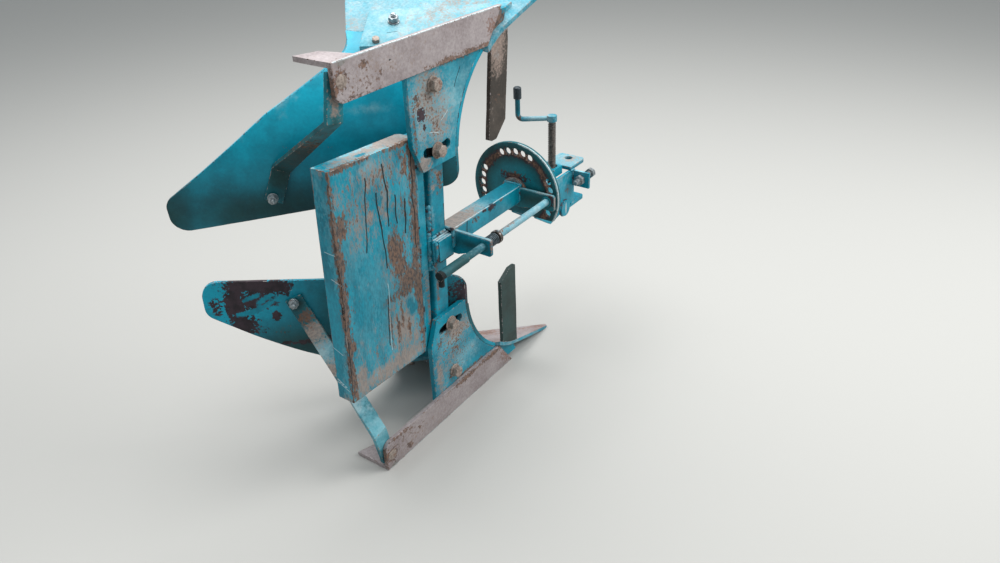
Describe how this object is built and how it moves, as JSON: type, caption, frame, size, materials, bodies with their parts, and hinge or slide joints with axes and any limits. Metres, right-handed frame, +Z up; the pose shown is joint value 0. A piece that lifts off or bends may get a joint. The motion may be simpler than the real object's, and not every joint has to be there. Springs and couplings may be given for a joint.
{
  "type": "reversible tiller plough",
  "caption": "Turn-over mouldboard plough for a walking tractor: mirrored bodies on a turning beam, with index disc, lock rod, pin hitch and depth crank.",
  "frame": {"origin": "on the floor, under the middle of the bounding box", "axes": "+X forward along the beam to the hitch, +Y left, the side the mouldboards turn the soil to as stored, +Z up"},
  "size_m": [0.7462, 0.4298, 0.722],
  "materials": {
    "paint": "worn teal enamel",
    "worn_steel": "soil-worn",
    "dark_steel": "dull",
    "bare_steel": "rusty",
    "greased_screw": "greased",
    "plated_bolt": "dull zinc",
    "spring_steel": "rusty",
    "black_knob": "satin"
  },
  "bodies": {
    "hitch": {"hitch_plate_near": "paint", "hitch_plate_far": "paint", "hitch_ear_top": "paint", "hitch_ear_bottom": "paint", "stop_tab_near": "paint", "stop_tab_far": "paint", "stop_bolt_near": "plated_bolt", "stop_bolt_far": "plated_bolt", "screw_swivel": "bare_steel", "crank_spindle": "greased_screw", "crank_arm": "paint", "crank_knob": "black_knob"},
    "carrier": {"index_disc": "paint", "pivot_sleeve": "paint", "screw_tongue": "paint"},
    "plough_frame": {"turning_hub": "bare_steel", "beam": "paint", "fish_plates": "paint", "lug_rear": "paint", "lug_front": "paint", "lock_rod": "paint", "lock_spring": "spring_steel", "lock_collar": "bare_steel", "frame_slab": "paint", "frame_spine": "paint", "post": "paint", "frog_upper": "paint", "frog_lower": "paint", "landside_upper": "worn_steel", "landside_lower": "worn_steel", "heel_flange_upper": "worn_steel", "heel_flange_lower": "worn_steel", "brace_upper": "paint", "brace_lower": "paint", "mouldboard_upper": "paint", "mouldboard_lower": "paint", "share_upper": "worn_steel", "share_lower": "worn_steel", "share_seat_upper": "paint", "share_seat_lower": "paint", "knife_upper": "dark_steel", "knife_lower": "dark_steel"}
  },
  "joints": [
    {"name": "depth_tilt", "type": "hinge", "parent": "hitch", "child": "carrier", "pos_m": [0.19909, -0.1179, 0.361], "axis": [0, 1, 0], "range_deg": [-8, 8]},
    {"name": "turnover", "type": "hinge", "parent": "carrier", "child": "plough_frame", "pos_m": [0.19909, -0.1179, 0.361], "axis": [1, 0, 0], "range_deg": [-204, 24]}
  ]
}
